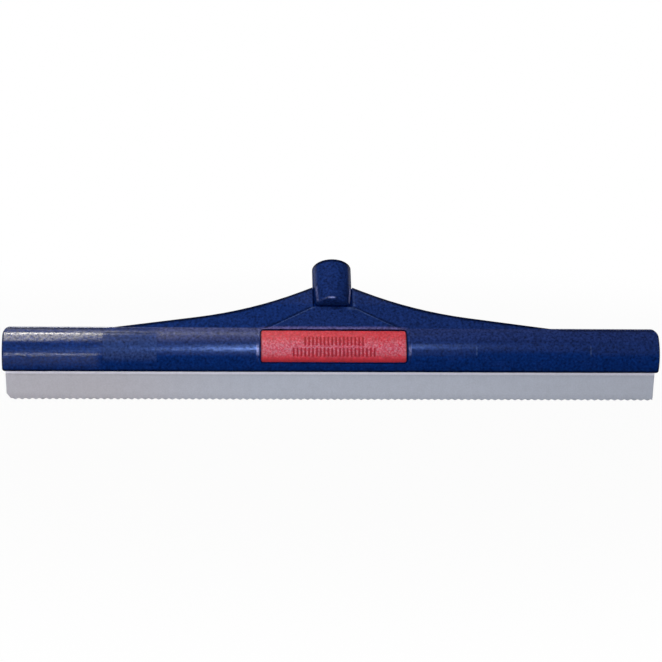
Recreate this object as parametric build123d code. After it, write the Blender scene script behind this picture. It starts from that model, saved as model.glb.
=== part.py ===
from build123d import *
import math
import os

# Squeegee head for spreading coatings: a moulded frame with a leaning handle socket, a rear clamp bar,
# a notched rubber blade held by its bead, and a colour tag let into the front.
# X runs along the bar, Y to the rear, Z up. While it is modelled, the blade's middle plane is Y = 0 and
# its working edge is Z = 0. Each piece is then moved so that the mouth of the socket is the origin.

# Driving dimensions, in millimetres and degrees

# Bar
BAR_LENGTH = 615.8
BAR_HEIGHT = 39.1
LIP_FRONT = 10.0  # blade's middle plane to the front lower edge of the bar
TOP_BACK = 3.4  # blade's middle plane back to where the rounded front ends at the top
FULLEST_HEIGHT = 13.2  # lower edge of the bar to the fullest line of the rounded front
BAR_REAR = 7.0  # blade's middle plane back to the rear face of the top ledge
LEDGE_HEIGHT = 4.0  # top ledge that the clamp bar tucks under
BAR_WALL = 5.0
END_WALL = 4.0
END_TOP_RADIUS = 6.0
END_LOW_RADIUS = 2.5
EDGE_RADIUS = 1.5

# Core pockets in the rear of the bar
LIP_FLOOR = 3.0
SHELF = 3.0
SEAT_STRIP = 3.0
RIB = 3.0
BOSS_WIDTH = 11.0

# Web
LEAN = 42.0  # web and socket lean back from the vertical
WEB_HALF_SPAN = 213.4
WEB_KNEE_OUT = 77.0
WEB_KNEE_UP = 20.4
WEB_TOP = 46.6  # height at the socket, along the web
WEB_SWEEP = 0.81  # share of the knee's shorter leg that its arc takes up
WEB_THICKNESS = 4.0
WEB_ROOT = 1.5  # depth to which the web is sunk into the bar
WEB_EDGE_RADIUS = 1.0
RIM = 4.0
RIM_DEPTH = 6.0
WEB_RIB_PITCH = 44.0
WEB_RIBS_A_SIDE = 3

# Handle socket
SOCKET_START = 26.7  # along the web, from the bar to the socket's lower end
SOCKET_LENGTH = 43.7
SOCKET_RADIUS = 18.6
SOCKET_LOW_RADIUS = 16.5  # at the lower end, from where it widens up to the web's top
SOCKET_SINK = 6.0  # socket's axis behind the front face of the web
SOCKET_EDGE_RADIUS = 1.2
SOCKET_LOW_EDGE_RADIUS = 2.4
BORE_RADIUS = 14.45
BORE_STRAIGHT = 16.0
BORE_DEPTH = 38.0
BORE_LOW_RADIUS = 12.6
KEEL_WIDTH = 5.0
KEEL_LOW_DEPTH = 10.0

# Recess in the web that the socket stands in
RECESS_HALF = 19.0
RECESS_DEPTH = 2.8
RECESS_BELOW = 3.0  # socket's lower end to the recess's lower wall

# Fairing below the recess
FAIRING_LOW_HALF = 63.5
FAIRING_PROUD = 2.1
FAIRING_EDGE_RADIUS = 1.7

# Round mould mark beside the socket
MARK_RADIUS = 4.6
MARK_OUT = 29.0
MARK_UP = 29.0
MARK_DEPTH = 0.3

# Bare panels on the front of the bar
PANEL_DEPTH = 0.4
PANEL_CORNER = 1.5
LEFT_PANEL_CENTRE = -190.0
LEFT_PANEL_WIDTH = 50.0
LEFT_PANEL_HEIGHT = 30.0
RIGHT_PANEL_CENTRE = 188.0
RIGHT_PANEL_WIDTH = 108.0
RIGHT_PANEL_HEIGHT = 18.0
PANEL_MIDDLE = 20.5  # above the lower edge of the bar

# Colour tag
TAG_WIDTH = 136.4
TAG_LOW_MARGIN = 10.0
TAG_TOP_MARGIN = 1.2
TAG_CORNER = 2.2
TAG_THICKNESS = 2.0
TAG_PROUD = 0.2
TAG_SIDE_GAP = 0.9
TAG_FLOOR_GAP = 0.2
TAG_EDGE = 0.4
BEZEL_WIDTH = 2.8
BEZEL_PROUD = 0.8
BEZEL_EDGE = 1.2
PEG_RADIUS = 3.0
PEG_SPACING = 104.0
PEG_CLEARANCE = 0.15
PEG_END = 0.5  # how far a peg comes through the wall behind the tag

# Blade
BLADE_DROP = 28.1  # working edge to the lower edge of the bar
BLADE_THICKNESS = 6.0
BLADE_INSET = 2.1  # from each end of the bar
BLADE_TAPER = 1.0  # how much narrower the working edge is at each end
BLADE_CLEARANCE = 0.2
BEAD_LOW = 10.5  # lower edge of the bar to the bead
BEAD_HEIGHT = 5.5
BEAD_STEP = 2.0  # how far the bead stands out on each side
BEAD_CLEARANCE = 0.3
NOTCH_PITCH = 6.35
NOTCH_DEPTH = 1.1
CORNER_CUT_WIDTH = 4.6
CORNER_CUT_HEIGHT = 5.6

# Clamp bar
CLAMP_THICKNESS = 7.0
CLAMP_INSET = 4.0
CLAMP_GAP = 0.4  # below the top ledge
CLAMP_CORNER = 4.0
CLAMP_EDGE_RADIUS = 0.8
CLAMP_POCKET_DEPTH = 2.2
CLAMP_POCKET_CORNER = 2.5
CLAMP_RIM = 4.0
CLAMP_LAND = 9.0  # screw's centre to the pockets beside it

# Clamp screws and their inserts
SCREW_COUNT = 8
SCREW_END_MARGIN = 44.5
SCREW_RADIUS = 2.0
SCREW_LENGTH = 9.0
SCREW_HOLE_CLEARANCE = 0.25
HEAD_RADIUS = 4.0
HEAD_HEIGHT = 2.5
HEAD_EDGE_RADIUS = 0.8
HEAD_CLEARANCE = 0.5
HEAD_SINK = 0.3  # head below the rear face of the clamp bar
KEY_ACROSS_FLATS = 2.5
KEY_DEPTH = 1.4
INSERT_RADIUS = 2.9
INSERT_LENGTH = 6.4
INSERT_CLEARANCE = 0.03
THREAD_CLEARANCE = 0.05
INSERT_HOLE_SPARE = 0.6  # hole beyond the insert's end

# Places worked out from the driving dimensions

BAR_BOTTOM = BLADE_DROP
BAR_TOP = BAR_BOTTOM + BAR_HEIGHT
LEDGE_Z = BAR_TOP - LEDGE_HEIGHT
SEAT_Y = BLADE_THICKNESS / 2 + BLADE_CLEARANCE
BEAD_Z = BAR_BOTTOM + BEAD_LOW
BEAD_TOP = BEAD_Z + BEAD_HEIGHT
SHELF_TOP = BEAD_TOP + BEAD_CLEARANCE + SHELF
CORE_TOP = LEDGE_Z - SEAT_STRIP
SCREW_Z = (SHELF_TOP + CORE_TOP) / 2

# The rounded front is one arc through the lip and the top, fullest at FULLEST_HEIGHT.
ABOVE_FULLEST = BAR_HEIGHT - FULLEST_HEIGHT
FRONT_CENTRE_Y = (
    ABOVE_FULLEST**2 - FULLEST_HEIGHT**2 - LIP_FRONT**2 + TOP_BACK**2
) / (2 * (LIP_FRONT + TOP_BACK))
FRONT_CENTRE_Z = BAR_BOTTOM + FULLEST_HEIGHT
FRONT_RADIUS = math.hypot(FRONT_CENTRE_Y + LIP_FRONT, FULLEST_HEIGHT)
FULLEST_Y = FRONT_CENTRE_Y - FRONT_RADIUS

# Local axes of the web: across, up along the web, and out of its front face.
LEAN_RAD = math.radians(LEAN)
WEB_PLANE = Plane(
    origin=(0, TOP_BACK, BAR_TOP),
    x_dir=(1, 0, 0),
    z_dir=(0, -math.cos(LEAN_RAD), math.sin(LEAN_RAD)),
)
FAIRING_TOP = SOCKET_START - RECESS_BELOW
SOCKET_LOW = WEB_PLANE.from_local_coords((0, SOCKET_START, -SOCKET_SINK))
SOCKET_PLANE = Plane(origin=SOCKET_LOW, x_dir=(1, 0, 0), z_dir=WEB_PLANE.y_dir)
MOUTH = SOCKET_PLANE.from_local_coords((0, 0, SOCKET_LENGTH))

SCREW_PITCH = (BAR_LENGTH - 2 * SCREW_END_MARGIN) / (SCREW_COUNT - 1)
SCREW_XS = [(i - (SCREW_COUNT - 1) / 2) * SCREW_PITCH for i in range(SCREW_COUNT)]

REACH = 3 * (BAR_HEIGHT + BLADE_DROP)  # longer than any cut through the bar's section


def block(low, high):
    """Box between two opposite corners."""
    middle = [(a + b) / 2 for a, b in zip(low, high)]
    size = [b - a for a, b in zip(low, high)]
    return Pos(*middle) * Box(*size)


def front_round(offset):
    """Solid inside the bar's rounded front, moved outwards by offset."""
    roller = Cylinder(FRONT_RADIUS + offset, BAR_LENGTH + 2 * END_WALL)
    return Pos(0, FRONT_CENTRE_Y, FRONT_CENTRE_Z) * Rot(0, 90, 0) * roller


def front_y(offset, z):
    """Y of the bar's rounded front, moved outwards by offset, at one height."""
    return FRONT_CENTRE_Y - math.sqrt((FRONT_RADIUS + offset) ** 2 - (z - FRONT_CENTRE_Z) ** 2)


def front_arc(offset, low, high):
    """Arc of the bar's rounded front between two heights, moved outwards along its radius by offset."""
    reach = FRONT_RADIUS + offset
    turns = [math.asin((z - FRONT_CENTRE_Z) / FRONT_RADIUS) for z in (low, (low + high) / 2, high)]
    return ThreePointArc(
        *[(FRONT_CENTRE_Y - reach * math.cos(a), FRONT_CENTRE_Z + reach * math.sin(a)) for a in turns]
    )


def front_prism(centre_x, width, low, high, corner):
    """Rounded rectangle seen from the front, carried through the front half of the bar."""
    face = RectangleRounded(width, high - low, corner)
    sketch = Plane((centre_x, BAR_REAR, (low + high) / 2), x_dir=(1, 0, 0), z_dir=(0, -1, 0)) * face
    return extrude(sketch, amount=REACH)


def soften_front(plate, radius):
    """Plate with a fillet round its outermost face, the one that follows the bar's rounded front."""
    skin = plate.faces().filter_by(GeomType.CYLINDER).sort_by(lambda face: face.radius)[-1]
    return fillet(skin.edges(), radius)


def rough_bar():
    """Bar before it is cored: rounded front, flat top, rounded ends."""
    lip = (-LIP_FRONT, BAR_BOTTOM)
    crest = (TOP_BACK, BAR_TOP)
    front = ThreePointArc(lip, (FULLEST_Y, FRONT_CENTRE_Z), crest)
    rest = Polyline(crest, (BAR_REAR, BAR_TOP), (BAR_REAR, BAR_BOTTOM), lip)
    bar = extrude(Plane.YZ * make_face(front + rest), amount=BAR_LENGTH / 2, both=True)
    face = Rectangle(BAR_LENGTH, BAR_HEIGHT)
    face = fillet(face.vertices().group_by(Axis.Y)[-1], END_TOP_RADIUS)
    face = fillet(face.vertices().group_by(Axis.Y)[0], END_LOW_RADIUS)
    middle = (0, BAR_REAR, (BAR_BOTTOM + BAR_TOP) / 2)
    outline = Plane(middle, x_dir=(1, 0, 0), z_dir=(0, -1, 0)) * face
    bar = bar & extrude(outline, amount=REACH)
    rounded = bar.faces().filter_by(GeomType.CYLINDER).sort_by(SortBy.AREA)[-1]
    return fillet(rounded.edges(), EDGE_RADIUS)


def web_outline():
    """Front view of the web in its own plane, swept up from the bar to the socket."""
    tip = (WEB_HALF_SPAN, 0)
    knee = (WEB_KNEE_OUT, WEB_KNEE_UP)
    inner = (SOCKET_RADIUS, WEB_TOP)
    outer_leg = math.dist(tip, knee)
    inner_leg = math.dist(knee, inner)
    turn = math.atan2(WEB_TOP - WEB_KNEE_UP, WEB_KNEE_OUT - SOCKET_RADIUS) - math.atan2(
        WEB_KNEE_UP, WEB_HALF_SPAN - WEB_KNEE_OUT
    )
    sweep_radius = WEB_SWEEP * min(outer_leg, inner_leg) / math.tan(turn / 2)
    right = FilletPolyline(tip, knee, inner, radius=sweep_radius)
    left = mirror(right, Plane.YZ)
    rest = Polyline((SOCKET_RADIUS, WEB_TOP), (-SOCKET_RADIUS, WEB_TOP))
    root = Polyline(tip, (WEB_HALF_SPAN, -WEB_ROOT), (-WEB_HALF_SPAN, -WEB_ROOT), (-WEB_HALF_SPAN, 0))
    return make_face(right + left + rest + root)


def web():
    """Leaning plate with a rounded front edge, and a rim and ribs on its rear."""
    outline = web_outline()
    plate = extrude(outline, amount=-(WEB_THICKNESS + RIM_DEPTH))
    front_edges = plate.faces().sort_by(Axis.Z)[-1].edges()
    plate = fillet(front_edges.filter_by(lambda edge: edge.center().Y > 0), WEB_EDGE_RADIUS)
    cores = offset(outline, amount=-RIM, kind=Kind.INTERSECTION)
    for side in (-1, 1):
        for i in range(WEB_RIBS_A_SIDE):
            rib_x = side * (i + 1) * WEB_RIB_PITCH
            cores -= Pos(rib_x, WEB_TOP / 2) * Rectangle(RIB, 2 * WEB_TOP)
    plate -= extrude(Pos(0, 0, -WEB_THICKNESS) * cores, amount=-RIM_DEPTH)
    return WEB_PLANE * plate


def socket():
    """Outside of the handle socket, tapered below the web's top, and its keel on the rear."""
    upright = (Align.CENTER, Align.CENTER, Align.MIN)
    taper = WEB_TOP - SOCKET_START
    low = Cone(SOCKET_LOW_RADIUS, SOCKET_RADIUS, taper, align=upright)
    tube = low + Pos(0, 0, taper) * Cylinder(SOCKET_RADIUS, SOCKET_LENGTH - taper, align=upright)
    tube = fillet(tube.edges().filter_by(GeomType.CIRCLE).sort_by(Axis.Z)[-1], SOCKET_EDGE_RADIUS)
    tube = fillet(tube.edges().filter_by(GeomType.CIRCLE).sort_by(Axis.Z)[0], SOCKET_LOW_EDGE_RADIUS)
    deep = SOCKET_SINK + SOCKET_LOW_RADIUS
    keel_top = SOCKET_START + SOCKET_LOW_RADIUS / 2
    keel_front = -(RECESS_DEPTH + WEB_THICKNESS) / 2
    side = Polyline(
        (-WEB_ROOT, keel_front),
        (-WEB_ROOT, -KEEL_LOW_DEPTH),
        (SOCKET_START, -deep + KEEL_WIDTH / 2),
        (keel_top, -deep + KEEL_WIDTH / 2),
        (keel_top, keel_front),
        close=True,
    )
    across = Plane(WEB_PLANE.origin, x_dir=WEB_PLANE.y_dir, z_dir=(1, 0, 0))
    keel = extrude(across * make_face(side), amount=KEEL_WIDTH / 2, both=True)
    return SOCKET_PLANE * tube + keel


def bore():
    """Hole for a tapered handle: straight at the mouth, then narrowing to its floor."""
    straight = Cylinder(BORE_RADIUS, BORE_STRAIGHT, align=(Align.CENTER, Align.CENTER, Align.MAX))
    narrow = Cone(
        BORE_LOW_RADIUS,
        BORE_RADIUS,
        BORE_DEPTH - BORE_STRAIGHT,
        align=(Align.CENTER, Align.CENTER, Align.MAX),
    )
    mouth_plane = Plane(origin=MOUTH, x_dir=(1, 0, 0), z_dir=SOCKET_PLANE.z_dir)
    return mouth_plane * (straight + Pos(0, 0, -BORE_STRAIGHT) * narrow)


def recess():
    """Straight-sided recess in the front of the web, open at the web's top."""
    low = (-RECESS_HALF, FAIRING_TOP, -RECESS_DEPTH)
    return WEB_PLANE * block(low, (RECESS_HALF, WEB_TOP + RIM, RECESS_DEPTH))


def fairing():
    """Raised trapezoid with rounded edges that flares from the recess down to the tag."""
    outline = Polyline(
        (RECESS_HALF, FAIRING_TOP),
        (-RECESS_HALF, FAIRING_TOP),
        (-FAIRING_LOW_HALF, -WEB_ROOT),
        (FAIRING_LOW_HALF, -WEB_ROOT),
        close=True,
    )
    sunk = WEB_THICKNESS / 2
    raised = extrude(Pos(0, 0, -sunk) * make_face(outline), amount=FAIRING_PROUD + sunk)
    front_edges = raised.faces().sort_by(Axis.Z)[-1].edges().sort_by(Axis.Y)
    return WEB_PLANE * fillet(front_edges[1:], FAIRING_EDGE_RADIUS)


def tag_limits(grow):
    """Lower and upper edge of the tag, moved outwards by grow."""
    return BAR_BOTTOM + TAG_LOW_MARGIN - grow, BAR_TOP - TAG_TOP_MARGIN + grow


def tag_prism(grow):
    """Front view of the tag, moved outwards by grow, carried through the bar's front."""
    low, high = tag_limits(grow)
    return front_prism(0, TAG_WIDTH + 2 * grow, low, high, TAG_CORNER + grow)


def bezel():
    """Raised surround of the tag with rounded outer edges, up to the bar's top."""
    below_top = block((-BAR_LENGTH, -REACH, BAR_BOTTOM), (BAR_LENGTH, BAR_REAR, BAR_TOP))
    plate = tag_prism(TAG_SIDE_GAP + BEZEL_WIDTH) & front_round(BEZEL_PROUD) & below_top
    return soften_front(plate, BEZEL_EDGE)


def pegs(grow):
    """The tag's two pegs, from inside the tag to just through the wall behind it."""
    tip = front_y(-BAR_WALL, SCREW_Z) + PEG_END + grow
    length = tip - FULLEST_Y
    shank = Cylinder(PEG_RADIUS + grow, length, align=(Align.CENTER, Align.CENTER, Align.MIN))
    inside = front_round(-TAG_THICKNESS / 2)
    xs = (-PEG_SPACING / 2, PEG_SPACING / 2)
    return [Pos(x, tip, SCREW_Z) * Rot(90, 0, 0) * shank & inside for x in xs]


def bead_slot(clearance):
    """Bead of the blade, grown by a clearance, along the whole bar."""
    half = BLADE_THICKNESS / 2 + BEAD_STEP + clearance
    low = (-BAR_LENGTH, -half, BEAD_Z - clearance)
    return block(low, (BAR_LENGTH, half, BEAD_TOP + clearance))


def core_spans():
    """Ends of the pockets between the screw bosses, each gap parted by a rib."""
    stops = [-BAR_LENGTH / 2 + END_WALL]
    for x, after in zip(SCREW_XS, SCREW_XS[1:] + [None]):
        stops += [x - BOSS_WIDTH / 2, x + BOSS_WIDTH / 2]
        if after is not None:
            stops += [(x + after - RIB) / 2, (x + after + RIB) / 2]
    stops.append(BAR_LENGTH / 2 - END_WALL)
    return list(zip(stops[::2], stops[1::2]))


def bar_cores():
    """Pockets that lighten the bar, open to the rear behind the clamp bar and the blade."""
    inside = front_round(-BAR_WALL)
    blade_front = -BLADE_THICKNESS / 2
    cores = []
    for start, end in core_spans():
        lower = block((start, FULLEST_Y, BAR_BOTTOM + LIP_FLOOR), (end, blade_front, BEAD_TOP))
        upper = block((start, FULLEST_Y, SHELF_TOP), (end, SEAT_Y, CORE_TOP))
        cores += [inside & lower, inside & upper]
    return cores


def rear_cylinder(x, radius, rear_y, length):
    """Round cut or shank at a screw's place that runs forward from rear_y."""
    shank = Cylinder(radius, length, align=(Align.CENTER, Align.CENTER, Align.MIN))
    return Pos(x, rear_y, SCREW_Z) * Rot(90, 0, 0) * shank


def panel_recess(centre, width, height):
    """Shallow bare panel in the rounded front."""
    low = BAR_BOTTOM + PANEL_MIDDLE - height / 2
    prism = front_prism(centre, width, low, low + height, PANEL_CORNER)
    return (prism & front_round(BEZEL_PROUD)) - front_round(-PANEL_DEPTH)


def frame():
    """The blue moulding: bar, web, socket, fairing and every cut in them."""
    body = rough_bar() + bezel() + web() + fairing() - recess() + socket()
    mark_plane = WEB_PLANE * Pos(MARK_OUT, MARK_UP, -MARK_DEPTH)
    mark = extrude(mark_plane * Circle(MARK_RADIUS), amount=MARK_DEPTH)
    blade_slot = block(
        (-BAR_LENGTH, -BLADE_THICKNESS / 2 - BLADE_CLEARANCE, 0),
        (BAR_LENGTH, SEAT_Y, BEAD_TOP + BEAD_CLEARANCE),
    )
    clamp_bay = block((-BAR_LENGTH, SEAT_Y, 0), (BAR_LENGTH, REACH, LEDGE_Z))
    tag_pocket = tag_prism(TAG_SIDE_GAP) - front_round(-TAG_THICKNESS - TAG_FLOOR_GAP)
    insert_hole = INSERT_LENGTH + INSERT_HOLE_SPARE
    holes = [rear_cylinder(x, INSERT_RADIUS + INSERT_CLEARANCE, SEAT_Y, insert_hole) for x in SCREW_XS]
    panels = [
        panel_recess(LEFT_PANEL_CENTRE, LEFT_PANEL_WIDTH, LEFT_PANEL_HEIGHT),
        panel_recess(RIGHT_PANEL_CENTRE, RIGHT_PANEL_WIDTH, RIGHT_PANEL_HEIGHT),
    ]
    cuts = [bore(), mark, blade_slot, bead_slot(BEAD_CLEARANCE), clamp_bay, tag_pocket]
    for cut in cuts + panels + bar_cores() + pegs(PEG_CLEARANCE) + holes:
        body -= cut
    return body


def colour_tag():
    """Red plate let into the front, with softened edges and two pegs."""
    skin = front_arc(TAG_PROUD, *tag_limits(0))
    back = front_arc(-TAG_THICKNESS, *tag_limits(0))
    section = make_face(skin + back + Line(skin @ 0, back @ 0) + Line(skin @ 1, back @ 1))
    plate = extrude(Plane.YZ * section, amount=TAG_WIDTH / 2, both=True)
    corners = plate.edges().filter_by(GeomType.LINE).filter_by(Axis.X, reverse=True)
    plate = fillet(corners, TAG_CORNER)
    return soften_front(plate, TAG_EDGE) + pegs(0)


def blade_outline():
    """Front view of the blade: sides that draw in below the bar and a wavy working edge of arcs."""
    top_half = BAR_LENGTH / 2 - BLADE_INSET
    half = top_half - BLADE_TAPER
    count = round(2 * half / NOTCH_PITCH)
    step = half / count
    middle = NOTCH_DEPTH / 2
    waves = []
    for i in range(count):
        start = -half + 2 * i * step
        tooth = ThreePointArc((start, middle), (start + step / 2, 0), (start + step, middle))
        notch_end = start + 2 * step
        notch = ThreePointArc(
            (start + step, middle), (start + 1.5 * step, NOTCH_DEPTH), (notch_end, middle)
        )
        waves += [tooth, notch]
    side = [(half, middle), (top_half, BAR_BOTTOM), (top_half, BEAD_TOP)]
    rest = Polyline(side + [(-x, z) for x, z in reversed(side)])
    return make_face(Curve() + waves + rest)


def blade():
    """Rubber strip with a bead along its top, a notched working edge and one cut corner."""
    half = BAR_LENGTH / 2 - BLADE_INSET
    strip = extrude(Plane.XZ * blade_outline(), amount=BLADE_THICKNESS / 2, both=True)
    bead = block(
        (-half, -BLADE_THICKNESS / 2 - BEAD_STEP, BEAD_Z),
        (half, BLADE_THICKNESS / 2 + BEAD_STEP, BEAD_TOP),
    )
    corner = Polyline(
        (-CORNER_CUT_WIDTH, 2 * CORNER_CUT_HEIGHT),
        (-CORNER_CUT_WIDTH, -CORNER_CUT_HEIGHT),
        (2 * CORNER_CUT_WIDTH, -CORNER_CUT_HEIGHT),
        close=True,
    )
    edge_end = Pos(BLADE_TAPER - half, 0, 0)
    cut = edge_end * extrude(Plane.XZ * make_face(corner), amount=BLADE_THICKNESS, both=True)
    return strip + bead - cut


def clamp_bar():
    """Rear jaw: grooved for the bead, counterbored for the screws and cored between them."""
    half = BAR_LENGTH / 2 - CLAMP_INSET
    top = LEDGE_Z - CLAMP_GAP
    rear = SEAT_Y + CLAMP_THICKNESS
    face = Rectangle(2 * half, top - BAR_BOTTOM)
    face = fillet(face.vertices().group_by(Axis.Y)[-1], CLAMP_CORNER)
    middle = (0, SEAT_Y, (top + BAR_BOTTOM) / 2)
    jaw = extrude(Plane(middle, x_dir=(-1, 0, 0), z_dir=(0, 1, 0)) * face, amount=CLAMP_THICKNESS)
    jaw = fillet(jaw.faces().sort_by(Axis.Y)[-1].edges(), CLAMP_EDGE_RADIUS)
    jaw -= bead_slot(BEAD_CLEARANCE)
    for x in SCREW_XS:
        jaw -= rear_cylinder(x, SCREW_RADIUS + SCREW_HOLE_CLEARANCE, rear, CLAMP_THICKNESS)
        jaw -= rear_cylinder(x, HEAD_RADIUS + HEAD_CLEARANCE, rear, HEAD_HEIGHT + HEAD_SINK)
    for start, end in zip(SCREW_XS, SCREW_XS[1:]):
        low = (start + CLAMP_LAND, rear - CLAMP_POCKET_DEPTH, BAR_BOTTOM + CLAMP_RIM)
        core = block(low, (end - CLAMP_LAND, rear, top - CLAMP_RIM))
        jaw -= fillet(core.edges().filter_by(Axis.Y), CLAMP_POCKET_CORNER)
    return jaw


def clamp_screw(x):
    """Pan-head screw with a hexagon key recess."""
    seat = SEAT_Y + CLAMP_THICKNESS - HEAD_SINK - HEAD_HEIGHT
    head = rear_cylinder(x, HEAD_RADIUS, seat + HEAD_HEIGHT, HEAD_HEIGHT)
    head = fillet(head.edges().group_by(Axis.Y)[-1], HEAD_EDGE_RADIUS)
    hexagon = RegularPolygon(KEY_ACROSS_FLATS / 2, 6, major_radius=False)
    top = Plane((x, seat + HEAD_HEIGHT, SCREW_Z), x_dir=(1, 0, 0), z_dir=(0, -1, 0))
    shank = rear_cylinder(x, SCREW_RADIUS, seat, SCREW_LENGTH)
    return head - extrude(top * hexagon, amount=KEY_DEPTH) + shank


def threaded_insert(x):
    """Brass sleeve pressed into a boss of the frame, flush with the seat of the clamp bar."""
    sleeve = rear_cylinder(x, INSERT_RADIUS, SEAT_Y, INSERT_LENGTH)
    return sleeve - rear_cylinder(x, SCREW_RADIUS + THREAD_CLEARANCE, SEAT_Y, INSERT_LENGTH)


pieces = {"frame": frame(), "colour_tag": colour_tag(), "blade": blade(), "clamp_bar": clamp_bar()}
for number, place in enumerate(SCREW_XS, start=1):
    pieces[f"clamp_screw_{number}"] = clamp_screw(place)
    pieces[f"threaded_insert_{number}"] = threaded_insert(place)

os.makedirs("parts", exist_ok=True)
for name, piece in pieces.items():
    export_step(Pos(-MOUTH.X, -MOUTH.Y, -MOUTH.Z) * piece, f"parts/{name}.step")
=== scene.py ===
"""Looks of a squeegee head: moulded plastic, notched rubber, colour tag and metal, in a plain studio."""

import math

import bmesh
import bpy
import numpy as np
from mathutils import Matrix, Vector


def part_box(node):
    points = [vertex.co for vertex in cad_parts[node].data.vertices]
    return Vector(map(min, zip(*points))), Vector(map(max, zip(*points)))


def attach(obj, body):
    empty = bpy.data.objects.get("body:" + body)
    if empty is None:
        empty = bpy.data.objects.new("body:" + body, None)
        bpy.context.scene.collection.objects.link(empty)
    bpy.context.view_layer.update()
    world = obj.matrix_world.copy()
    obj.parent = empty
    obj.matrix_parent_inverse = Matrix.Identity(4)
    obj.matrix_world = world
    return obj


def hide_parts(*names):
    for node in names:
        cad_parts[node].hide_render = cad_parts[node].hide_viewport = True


bl_info = {
    "name": "Squeegee head",
    "version": (1, 0, 0),
    "blender": (4, 5, 0),
    "location": "3D View > Sidebar > Squeegee",
    "description": "Finishes of a notched squeegee head, and a studio for it",
    "category": "Object",
}

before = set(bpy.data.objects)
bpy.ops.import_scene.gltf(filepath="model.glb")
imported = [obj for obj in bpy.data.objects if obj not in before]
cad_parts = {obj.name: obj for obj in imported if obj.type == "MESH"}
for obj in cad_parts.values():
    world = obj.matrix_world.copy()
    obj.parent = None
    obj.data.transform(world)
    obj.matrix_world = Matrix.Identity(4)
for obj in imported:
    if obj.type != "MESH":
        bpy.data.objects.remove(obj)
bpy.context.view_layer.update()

FRAME_LOW, FRAME_HIGH = (np.array(corner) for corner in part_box("frame"))
BLADE_LOW, BLADE_HIGH = (np.array(corner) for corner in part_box("blade"))
TAG_LOW, TAG_HIGH = (np.array(corner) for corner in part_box("colour_tag"))
BLADE_LENGTH = BLADE_HIGH[0] - BLADE_LOW[0]
MIDDLE_Y = (BLADE_LOW[1] + BLADE_HIGH[1]) / 2  # middle plane of the blade
BAR_BOTTOM = FRAME_LOW[2]
WORKING_EDGE = BLADE_LOW[2]

MOULD_GRAIN = {"scale": 430.0, "detail": 4.0}  # grain of both plastics
SHARP_EDGE = math.radians(40)  # edges that turn more than this are shaded sharp
NOTCH_STEPS = 10  # points along each notch
ROUND_STEPS = 24  # points round a peg
RIB_ROWS = ((0.554, 0.823, 16), (0.20, 0.491, 22))  # ends as shares of the tag's height, number of ribs


# Settings


def length(name, description, default):
    """A size in metres."""
    return bpy.props.FloatProperty(
        name=name, description=description, default=default, unit="LENGTH", precision=5
    )


def colour(name, description, default):
    """A linear colour."""
    return bpy.props.FloatVectorProperty(
        name=name, description=description, default=default, subtype="COLOR", size=3, min=0, max=1
    )


def angle(name, description, degrees):
    """An angle, given in degrees and kept in radians."""
    return bpy.props.FloatProperty(
        name=name, description=description, default=math.radians(degrees), subtype="ANGLE"
    )


def number(name, description, default):
    """A plain number."""
    return bpy.props.FloatProperty(name=name, description=description, default=default)


def factor(name, description, default):
    """A share from 0 to 1."""
    return bpy.props.FloatProperty(
        name=name, description=description, default=default, subtype="FACTOR", min=0, max=1
    )


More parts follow.
